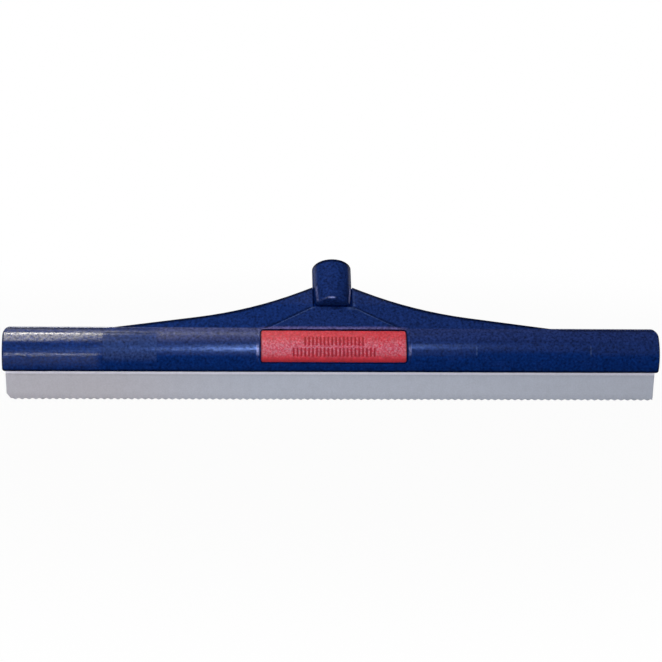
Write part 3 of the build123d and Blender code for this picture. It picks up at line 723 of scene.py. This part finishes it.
def red_plastic(name, base, painted_sheen):
    """Red moulded plastic: a satin grain, a painted pink sheen in specks across its middle, and painted
    shade low down and at its ends.
    """

    def sockets_of(tree):
        point = tree.point()
        x, _, z = tree.axes(point)
        height = z - TAG_LOW[2]
        cloud = tree.noise(point, scale=40.0, detail=3.0)
        grain = tree.noise(point, **MOULD_GRAIN)
        speck = tree.noise(point, scale=620.0, detail=2.0).ramp(0.3, 0.75)
        # Painted shade low down and at the ends, and a painted pink sheen across the middle, stronger on
        # the left
        low = 1 - height.ramp(0.001, 0.005)
        ends = (abs(x) - TAG_HIGH[0]).ramp(-0.0018, -0.0002)
        middle = height.ramp(0.003, 0.0095) * (1 - height.ramp(0.016, 0.025) * 0.7)
        shade = tree.blend(middle * (speck + (-x).ramp(0, 0.06) * 0.15), base, painted_sheen)
        level = (0.30 + cloud * 0.14 + grain * 1.26) * (1 - low * 0.3) * (1 - ends * 0.6)
        return {
            "Base Color": tree.tint(shade, level),
            "Roughness": 0.42 + cloud * 0.10 + grain * 0.06,
            "Specular IOR Level": 0.3,
            "Normal": tree.bump(grain, depth=0.00012),
        }

    return new_finish(name, sockets_of)


def bright_metal(name, base, roughness):
    """Plated or turned metal: fine turning lines across Y, tarnish in soft patches."""

    def sockets_of(tree):
        point = tree.point()
        patch = tree.noise(point, scale=500.0, detail=3.0)
        lines = tree.noise(point, scale=3000.0, detail=1.0, stretch=(0.2, 3.0, 0.2))
        return {
            "Base Color": tree.tint(tuple(base), 0.78 + patch * 0.3 + lines * 0.1),
            "Metallic": 1.0,
            "Roughness": roughness + patch * 0.2,
            "Normal": tree.bump(lines, depth=0.00002, strength=0.5),
        }

    return new_finish(name, sockets_of)


# Surfaces


def ring_faces(rings, points_each):
    """Quads between rings of points, one ring after the other, each ring closed on itself."""
    ring, place = np.meshgrid(np.arange(rings - 1), np.arange(points_each), indexing="ij")
    start, following = ring * points_each, (ring + 1) * points_each
    after = (place + 1) % points_each
    corners = [start + place, following + place, following + after, start + after]
    return np.stack(corners, axis=-1).reshape(-1, 4)


def make_piece(name, points, faces, material, body):
    """A mesh of points and quads, merged where points meet, turned outwards, smooth but for sharp edges.

    A quad that names a corner twice is a triangle.
    """
    mesh = bpy.data.meshes.new(name)
    corners = [list(dict.fromkeys(face)) for face in faces.tolist()]
    mesh.from_pydata(points.reshape(-1, 3).tolist(), [], corners)
    shape = bmesh.new()
    shape.from_mesh(mesh)
    bmesh.ops.remove_doubles(shape, verts=shape.verts, dist=1e-6)
    bmesh.ops.recalc_face_normals(shape, faces=shape.faces)
    shape.to_mesh(mesh)
    shape.free()
    mesh.shade_smooth()
    mesh.set_sharp_from_angle(angle=SHARP_EDGE)
    mesh.materials.append(material)
    piece = bpy.data.objects.new(name, mesh)
    bpy.context.scene.collection.objects.link(piece)
    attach(piece, body)
    return piece


def notch_count(blade):
    """Whole notches along the working edge."""
    return round((BLADE_LENGTH - 2 * blade.taper) / blade.pitch)


def working_edge(x, blade):
    """Height of the notched edge: a sine of one pitch, or the cut corner's line where that is higher."""
    along = x - BLADE_LOW[0]
    wave = blade.depth / 2 * (1 - np.sin(2 * math.pi * notch_count(blade) * along / BLADE_LENGTH))
    cut = blade.cut_height * (1 - along / blade.cut_width)
    return (wave + cut + np.sqrt((wave - cut) ** 2 + blade.cut_ease**2)) / 2


def strip_section(blade):
    """Half of the blade's section from its working edge to its top, as side, rise and share.

    A point's height is the working edge plus rise where share is 0, and the height of the bead's
    underside plus rise where share is 1; in between it goes evenly from one to the other.
    """
    half, r = blade.thickness / 2, blade.edge
    bead_half, c = (BLADE_HIGH[1] - BLADE_LOW[1]) / 2, blade.bead_corner
    turn = np.linspace(0, math.pi / 2, 4)
    climb = np.linspace(0, 1, 9)[1:]
    underside = np.array([0.0, 0.5]) * (half - r)
    stretches = [
        (underside, 0, 0),
        (half - r + r * np.sin(turn), r - r * np.cos(turn), 0),
        (half, r * (1 - climb), climb),
        (bead_half - c + c * np.sin(turn), c - c * np.cos(turn), 1),
        (bead_half - c + c * np.cos(turn), blade.bead_height - c + c * np.sin(turn), 1),
        (np.zeros(1), blade.bead_height, 1),
    ]
    return np.concatenate([np.stack(np.broadcast_arrays(*stretch)) for stretch in stretches], axis=1)


def blade_surface(blade):
    """The blade's section carried along X over the notched edge, with rounded ends.

    The section is mirrored about the blade's middle plane into a closed loop. Its sides draw in by a
    quarter circle at both ends, its ends draw in evenly from the bar down to the working edge, and the
    strip leaves its plane by a slow sine towards the working edge.
    """
    side, rise, share = strip_section(blade)
    side = np.concatenate([-side, side[-2:0:-1]])
    rise = np.concatenate([rise, rise[-2:0:-1]])
    share = np.concatenate([share, share[-2:0:-1]])
    r = blade.edge
    near = r * (1 - np.cos(np.linspace(0, math.pi / 2, 4)))[:-1]
    inner = np.linspace(BLADE_LOW[0] + r, BLADE_HIGH[0] - r, notch_count(blade) * NOTCH_STEPS + 1)
    x = np.concatenate([BLADE_LOW[0] + near, inner, BLADE_HIGH[0] - near[::-1]])
    to_end = np.minimum(x - BLADE_LOW[0], BLADE_HIGH[0] - x)
    draw = r - np.sqrt(np.maximum(r**2 - np.maximum(r - to_end, 0) ** 2, 0))
    low = WORKING_EDGE + working_edge(x, blade)
    bead_z = BLADE_HIGH[2] - blade.bead_height
    x, draw, low = x[:, None], draw[:, None], low[:, None]
    phase = 0.6
    sway = blade.sway * np.sin(2 * math.pi * x / blade.sway_length + phase) * (1 - share)
    y = MIDDLE_Y + np.sign(side) * np.maximum(np.abs(side) - draw, 0) + sway
    z = low * (1 - share) + bead_z * share + rise
    below = np.clip((BAR_BOTTOM - z) / (BAR_BOTTOM - WORKING_EDGE), 0, 1)
    x = x * (1 - blade.taper / BLADE_HIGH[0] * below)
    points = np.stack(np.broadcast_arrays(x, y, z), axis=-1)
    rows, columns = points.shape[:2]
    faces = [ring_faces(rows, columns)]
    left = np.arange(columns // 2)
    right = -left % columns
    cap = np.stack([left, (left + 1) % columns, (right - 1) % columns, right], axis=-1)
    for first in (0, (rows - 1) * columns):
        faces.append(first + cap)
    return points, np.concatenate(faces)


def front_circle(bar):
    """Centre Y, centre Z and radius of the bar's rounded front, from its lip, top and fullest line."""
    above = bar.height - bar.fullest
    reach = bar.lip_front + bar.top_back
    out = (above**2 - bar.fullest**2 - bar.lip_front**2 + bar.top_back**2) / (2 * reach)
    return MIDDLE_Y + out, BAR_BOTTOM + bar.fullest, math.hypot(out + bar.lip_front, bar.fullest)


def wrap_front(x, z, rise, bar):
    """Points at X and Z on the bar's rounded front, raised along its radius by rise."""
    centre_y, centre_z, radius = front_circle(bar)
    turn = np.arcsin((z - centre_z) / radius)
    y, z = centre_y - (radius + rise) * np.cos(turn), centre_z + (radius + rise) * np.sin(turn)
    return np.stack(np.broadcast_arrays(x, y, z), axis=-1)


def tag_heights(tag, bar):
    """Lower and upper edge of the tag, taken back along the radius from its face to the bar's surface."""
    _, centre_z, radius = front_circle(bar)
    share = radius / (radius + tag.proud)
    return centre_z + (TAG_LOW[2] - centre_z) * share, centre_z + (TAG_HIGH[2] - centre_z) * share


def rounded_outline(half_x, half_z, corner, inset, long_steps=24, short_steps=8, turn_steps=6):
    """Rounded rectangle about the origin, anticlockwise from its lower side, drawn in by inset.

    Each side is a straight run along its tangent, followed by a quarter circle about the corner's centre.
    """
    r = max(corner - inset, 1e-5)
    half = np.array((half_x, half_z)) - inset - r
    runs = [np.linspace(-1, 1, steps + 1)[:-1, None] for steps in (long_steps, short_steps)]
    turn = np.linspace(0, math.pi / 2, turn_steps + 1)[:-1]
    outline = []
    for quarter, (normal_x, normal_z) in enumerate([(0, -1), (1, 0), (0, 1), (-1, 0)]):
        normal, tangent = np.array((normal_x, normal_z)), np.array((-normal_z, normal_x))
        angles = (quarter - 1) * math.pi / 2 + turn
        outline.append(normal * (half + r) + tangent * half * runs[quarter % 2])
        outline.append((normal + tangent) * half + r * np.stack([np.cos(angles), np.sin(angles)], axis=-1))
    return np.concatenate(outline).T


def tag_surface(tag, bar):
    """A plate on the bar's rounded front, as rings from the middle of its face over its edge to its back.

    Rings on the face run from its spine out to the edge, the edge is a quarter circle, and the rings on
    the back run in to the spine again.
    """
    half_x = (TAG_HIGH[0] - TAG_LOW[0]) / 2
    low, high = tag_heights(tag, bar)
    half_z, centre_z = (high - low) / 2, (high + low) / 2
    r = tag.edge
    rings = []
    face_x, face_z = rounded_outline(half_x, half_z, tag.corner, r)
    spine = np.clip(face_x, half_z - half_x, half_x - half_z)
    for share in np.linspace(1, 0, 11)[:-1]:
        rings.append((face_x + (spine - face_x) * share, face_z * (1 - share), tag.proud))
    for turn in np.linspace(0, math.pi / 2, 5):
        x, z = rounded_outline(half_x, half_z, tag.corner, r * (1 - math.sin(turn)))
        rings.append((x, z, tag.proud - r * (1 - math.cos(turn))))
    back_x, back_z = rounded_outline(half_x, half_z, tag.corner, 0)
    spine = np.clip(back_x, half_z - half_x, half_x - half_z)
    for share in np.linspace(0, 1, 9):
        rings.append((back_x + (spine - back_x) * share, back_z * (1 - share), tag.proud - tag.thickness))
    points = np.stack([wrap_front(x, centre_z + z, rise, bar) for x, z, rise in rings])
    return points, ring_faces(*points.shape[:2])


def screw_height():
    """Height of the screws' centres above the bar's lower edge."""
    low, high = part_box("clamp_screw_1")
    return (low[2] + high[2]) / 2 - BAR_BOTTOM


def peg_surface(tag, bar, x):
    """A peg turned about a line along Y: a straight shank with a rounded tip, closed at both ends."""
    z = BAR_BOTTOM + screw_height()
    tip = TAG_HIGH[1]
    start = wrap_front(np.zeros(1), np.full(1, z), -tag.thickness / 2, bar)[0, 1]
    r, edge, pole = tag.peg_radius, tag.peg_edge, 1e-6
    turn = np.linspace(0, math.pi / 2, 4)
    radius = np.concatenate([[pole, r], r - edge + edge * np.cos(turn), [pole]])[:, None]
    along = np.concatenate([[start, start], tip - edge + edge * np.sin(turn), [tip]])[:, None]
    a = np.linspace(0, 2 * math.pi, ROUND_STEPS + 1)[:-1]
    points = np.stack(np.broadcast_arrays(x + radius * np.cos(a), along, z + radius * np.sin(a)), axis=-1)
    return points, ring_faces(*points.shape[:2])


def rib_surface(tag, bar, x, low, high):
    """One upright grip rib: a rounded bar, as rings from its foot in the tag to the spine of its crown."""
    half_x, half_z = tag.rib_width / 2, (high - low) / 2
    corner, crown_inset, steps = half_x * 0.98, half_x * 0.35, (1, 3, 3)
    foot_x, foot_z = rounded_outline(half_x, half_z, corner, 0, *steps)
    top_x, top_z = rounded_outline(half_x, half_z, corner, crown_inset, *steps)
    spine = np.clip(top_z, half_x - half_z, half_z - half_x)
    shoulder, crown = tag.proud + 0.55 * tag.rib_rise, tag.proud + tag.rib_rise
    rings = [
        (foot_x, foot_z, tag.proud - tag.rib_sink),
        (foot_x, foot_z, shoulder),
        (top_x, top_z, crown),
        (top_x * 0, spine, crown),
    ]
    points = np.stack([wrap_front(x + u, (low + high) / 2 + v, rise, bar) for u, v, rise in rings])
    return points, ring_faces(*points.shape[:2])


def rib_surfaces(tag, bar):
    """The grip ribs of both rows, centred on the tag."""
    bottom, top = tag_heights(tag, bar)
    ribs = []
    for low, high, count in RIB_ROWS:
        ends = [bottom + share * (top - bottom) for share in (low, high)]
        for i in range(count):
            ribs.append(rib_surface(tag, bar, (i - (count - 1) / 2) * tag.rib_pitch, *ends))
    return ribs


def joined(surfaces):
    """Several surfaces as one array of points and one of quads."""
    points = [some_points.reshape(-1, 3) for some_points, some_faces in surfaces]
    first = np.cumsum([0] + [len(some_points) for some_points in points])
    faces = [start + some_faces for start, (some_points, some_faces) in zip(first, surfaces)]
    return np.concatenate(points), np.concatenate(faces)


# Stage


def stage_point(x, y, z):
    """A point measured from the middle of the working edge."""
    return Vector((x, MIDDLE_Y + y, WORKING_EDGE + z))


def studio_white(shade):
    """Pale matt paper that lenses and shiny things see as white, and that keeps the part's shadow."""
    material, tree = new_material("studio_white")
    path = tree.node("LightPath", {}, {})
    seen = path["Is Camera Ray"].math("MAXIMUM", path["Is Camera Ray"], path["Is Glossy Ray"])
    seen = seen.math("MAXIMUM", seen, path["Is Transmission Ray"])
    far = tree.node("VectorMath", {"operation": "LENGTH"}, {0: tree.point()})["Value"].ramp(0.4, 0.9)
    paper = tree.node("BsdfDiffuse", {}, {"Color": rgba(shade)})["BSDF"]
    glow = tree.node("Emission", {}, {"Color": (1, 1, 1, 1), "Strength": 1.0})["Emission"]
    mixed = tree.node("MixShader", {}, {0: seen * (0.96 + far * 0.04), 1: paper, 2: glow})["Shader"]
    tree.node("OutputMaterial", {}, {"Surface": mixed})
    return material


def paper_sweep(shade):
    """The floor under the working edge and the upright backdrop behind it, as two quads."""
    wide, deep, tall = 12, 5, 3
    floor = [(-wide, -wide, 0), (wide, -wide, 0), (wide, deep, 0), (-wide, deep, 0)]
    backdrop = [(-wide, deep, tall), (wide, deep, tall)]
    corners = [stage_point(*corner) for corner in floor + backdrop]
    mesh = bpy.data.meshes.new("paper_sweep")
    mesh.from_pydata(corners, [], [(0, 1, 2, 3), (3, 2, 5, 4)])
    mesh.materials.append(studio_white(shade))
    return bpy.data.objects.new("paper_sweep", mesh)


def even_light(sky):
    """A world that lights the part evenly and that the camera sees as white."""
    world = bpy.data.worlds.new("even_light")
    world.use_nodes = True
    tree = Tree(world.node_tree)
    seen = tree.node("LightPath", {}, {})["Is Camera Ray"]
    shade = tree.blend(seen, sky, (1, 1, 1))
    even = tree.node("Background", {}, {"Color": shade, "Strength": 1.0})["Background"]
    tree.node("OutputWorld", {}, {"Surface": even})
    return world


def add_lamp(name, place, aim, size, radiance, tint=(1, 1, 1), turn=0.0, kept_from=None):
    """A rectangular lamp, turned about its own axis, and kept from shiny or from matt surfaces if asked."""
    lamp = bpy.data.lights.new(name, "AREA")
    lamp.shape = "RECTANGLE"
    lamp.size, lamp.size_y = size
    lamp.energy = radiance * math.pi * size[0] * size[1]
    lamp.color = tint
    stand = bpy.data.objects.new(name, lamp)
    facing = (aim - place).to_track_quat("-Z", "Y").to_matrix().to_4x4()
    stand.matrix_world = Matrix.Translation(place) @ facing @ Matrix.Rotation(turn, 4, "Z")
    stand.visible_camera = False
    stand.visible_glossy = kept_from != "shiny"
    stand.visible_diffuse = kept_from != "matt"
    bpy.context.scene.collection.objects.link(stand)


def add_lamps(stage):
    """Lamps above the left end and the middle, in front, at both sides and behind."""
    bar = stage_point(0, 0, 0.05)
    left = stage_point(-0.3, 0, 0)
    middle = stage_point(-0.1, 0, 0)
    warm, blue, tilt = stage.warm_light, stage.blue_light, stage.strip_tilt
    add_lamp("core", stage_point(-0.38, -0.055, 1), left, (0.18, 0.16), stage.core, warm)
    add_lamp("softbox", stage_point(-0.38, -0.34, 1), left, (0.18, 0.54), stage.softbox, warm)
    add_lamp("far_softbox", stage_point(-0.38, 0.22, 1), left, (0.18, 0.36), stage.far_softbox, warm)
    add_lamp("ceiling", stage_point(-0.16, 0.02, 1), middle, (0.3, 0.74), stage.ceiling)
    place = stage_point(0.06, -2.2, 1.31)
    add_lamp("strip", place, bar, (0.8, 0.34), stage.strip, blue, tilt, "matt")
    place = stage_point(-0.2, -2.2, 0.80)
    add_lamp("strip_foot", place, bar, (0.56, 0.34), stage.strip_foot, blue, tilt, "matt")
    place = stage_point(0.17, -2.2, 1.92)
    add_lamp("strip_head", place, bar, (0.7, 0.4), stage.strip_head, blue, tilt, "matt")
    add_lamp("edge", stage_point(-0.52, -2.2, 0.17), bar, (0.4, 0.14), stage.edge, kept_from="matt")
    for side, x in (("left", -1.7), ("right", 1.7)):
        add_lamp(f"{side}_window", stage_point(x, -1.5, 1.1), bar, (0.4, 0.7), stage.window)
    add_lamp("fill", stage_point(-0.4, -2.2, 0.16), bar, (2.0, 0.26), stage.fill, kept_from="shiny")
    add_lamp("rear", stage_point(0, 2.2, 0.6), bar, (2.0, 0.5), stage.rear)


def new_camera(stage):
    """Camera on a sphere about its target, looking at it, then rolled."""
    lens = bpy.data.cameras.new("camera")
    lens.sensor_width = stage.sensor
    lens.lens = stage.focal
    lens.shift_x, lens.shift_y = stage.shift_x, stage.shift_y
    flat, climb = math.cos(stage.elevation), math.sin(stage.elevation)
    back = Vector((math.sin(stage.azimuth) * flat, -math.cos(stage.azimuth) * flat, climb))
    right = Vector((0, 0, 1)).cross(back).normalized()
    up = back.cross(right)
    turned_right = math.cos(stage.roll) * right + math.sin(stage.roll) * up
    turned_up = math.cos(stage.roll) * up - math.sin(stage.roll) * right
    axes = Matrix((turned_right, turned_up, back)).transposed().to_4x4()
    place = stage_point(0, 0, stage.target_height) + back * stage.distance
    camera = bpy.data.objects.new("camera", lens)
    camera.matrix_world = Matrix.Translation(place) @ axes
    return camera


# Operators


class SQUEEGEE_OT_mould_frame(bpy.types.Operator):
    """Gives the frame and the clamp bar their blue moulded finish"""

    bl_idname = "squeegee.mould_frame"
    bl_label = "Mould the frame"

    def execute(self, context):
        scene = context.scene
        finish = blue_moulding(scene.squeegee_bar, scene.squeegee_wear, scene.squeegee_skin)
        for name in ("frame", "clamp_bar"):
            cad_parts[name].material_slots[0].material = finish
        return {"FINISHED"}


class SQUEEGEE_OT_cut_blade(bpy.types.Operator):
    """Makes the notched rubber blade"""

    bl_idname = "squeegee.cut_blade"
    bl_label = "Cut the blade"

    def execute(self, context):
        blade = context.scene.squeegee_blade
        points, faces = blade_surface(blade)
        piece = make_piece("notched_blade", points, faces, grey_rubber(blade), "blade")
        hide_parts("blade")
        return {"FINISHED"}


class SQUEEGEE_OT_press_tag(bpy.types.Operator):
    """Makes the colour tag with its pegs and two rows of grip ribs"""

    bl_idname = "squeegee.press_tag"
    bl_label = "Press the tag"

    def execute(self, context):
        tag, bar = context.scene.squeegee_tag, context.scene.squeegee_bar
        finish = red_plastic("red_plastic", tag.red, tag.sheen_pink)
        pegs = [peg_surface(tag, bar, side * tag.peg_spacing / 2) for side in (-1, 1)]
        points, faces = joined([tag_surface(tag, bar)] + pegs)
        plate = make_piece("tag_plate", points, faces, finish, "tag")
        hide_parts("colour_tag")
        points, faces = joined(rib_surfaces(tag, bar))
        # The darker red of the ribs is painted shade
        finish = red_plastic("deep_red", tag.shaded_rib_red, tag.shaded_rib_red)
        make_piece("tag_ribs", points, faces, finish, "tag")
        return {"FINISHED"}


class SQUEEGEE_OT_plate_metal(bpy.types.Operator):
    """Gives the screws and the threaded inserts their metal"""

    bl_idname = "squeegee.plate_metal"
    bl_label = "Plate the metal"

    def execute(self, context):
        metal = context.scene.squeegee_metal
        finishes = {
            "clamp_screw": bright_metal("zinc_plate", metal.steel, 0.22),
            "threaded_insert": bright_metal("turned_brass", metal.brass, 0.26),
        }
        for start, finish in finishes.items():
            nodes = [node for name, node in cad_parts.items() if name.startswith(start)]
            if not nodes:
                raise RuntimeError(f"the frame has no {start}")
            for node in nodes:
                node.material_slots[0].material = finish
        return {"FINISHED"}


class SQUEEGEE_OT_set_stage(bpy.types.Operator):
    """Sets the floor, the backdrop, the lamps and the camera"""

    bl_idname = "squeegee.set_stage"
    bl_label = "Set the stage"

    def execute(self, context):
        scene, stage = context.scene, context.scene.squeegee_stage
        scene.view_settings.view_transform = "Standard"
        sweep = paper_sweep(stage.paper)
        scene.collection.objects.link(sweep)
        scene.world = even_light(stage.sky)
        add_lamps(stage)
        camera = new_camera(stage)
        scene.collection.objects.link(camera)
        scene.camera = camera
        return {"FINISHED"}


class SQUEEGEE_PT_build(bpy.types.Panel):
    """Settings of the squeegee head and the steps that dress it"""

    bl_idname = "SQUEEGEE_PT_build"
    bl_label = "Squeegee head"
    bl_space_type = "VIEW_3D"
    bl_region_type = "UI"
    bl_category = "Squeegee"

    def draw(self, context):
        for operator in OPERATORS:
            self.layout.operator(operator.bl_idname)
        for name, group in SETTINGS.items():
            box = self.layout.box()
            box.label(text=group.__doc__)
            for field in group.__annotations__:
                box.prop(getattr(context.scene, name), field)


OPERATORS = (
    SQUEEGEE_OT_mould_frame,
    SQUEEGEE_OT_cut_blade,
    SQUEEGEE_OT_press_tag,
    SQUEEGEE_OT_plate_metal,
    SQUEEGEE_OT_set_stage,
)


def register():
    """Registers the settings, the operators and the panel."""
    for name, group in SETTINGS.items():
        bpy.utils.register_class(group)
        setattr(bpy.types.Scene, name, bpy.props.PointerProperty(type=group))
    for each in (*OPERATORS, SQUEEGEE_PT_build):
        bpy.utils.register_class(each)


def unregister():
    """Takes the panel, the operators and the settings away again."""
    for each in (SQUEEGEE_PT_build, *reversed(OPERATORS)):
        bpy.utils.unregister_class(each)
    for name, group in reversed(SETTINGS.items()):
        delattr(bpy.types.Scene, name)
        bpy.utils.unregister_class(group)


def main():
    """Dresses the squeegee head and sets the stage."""
    register()
    bpy.ops.squeegee.mould_frame()
    bpy.ops.squeegee.cut_blade()
    bpy.ops.squeegee.press_tag()
    bpy.ops.squeegee.plate_metal()
    bpy.ops.squeegee.set_stage()


if __name__ == "__main__":
    main()
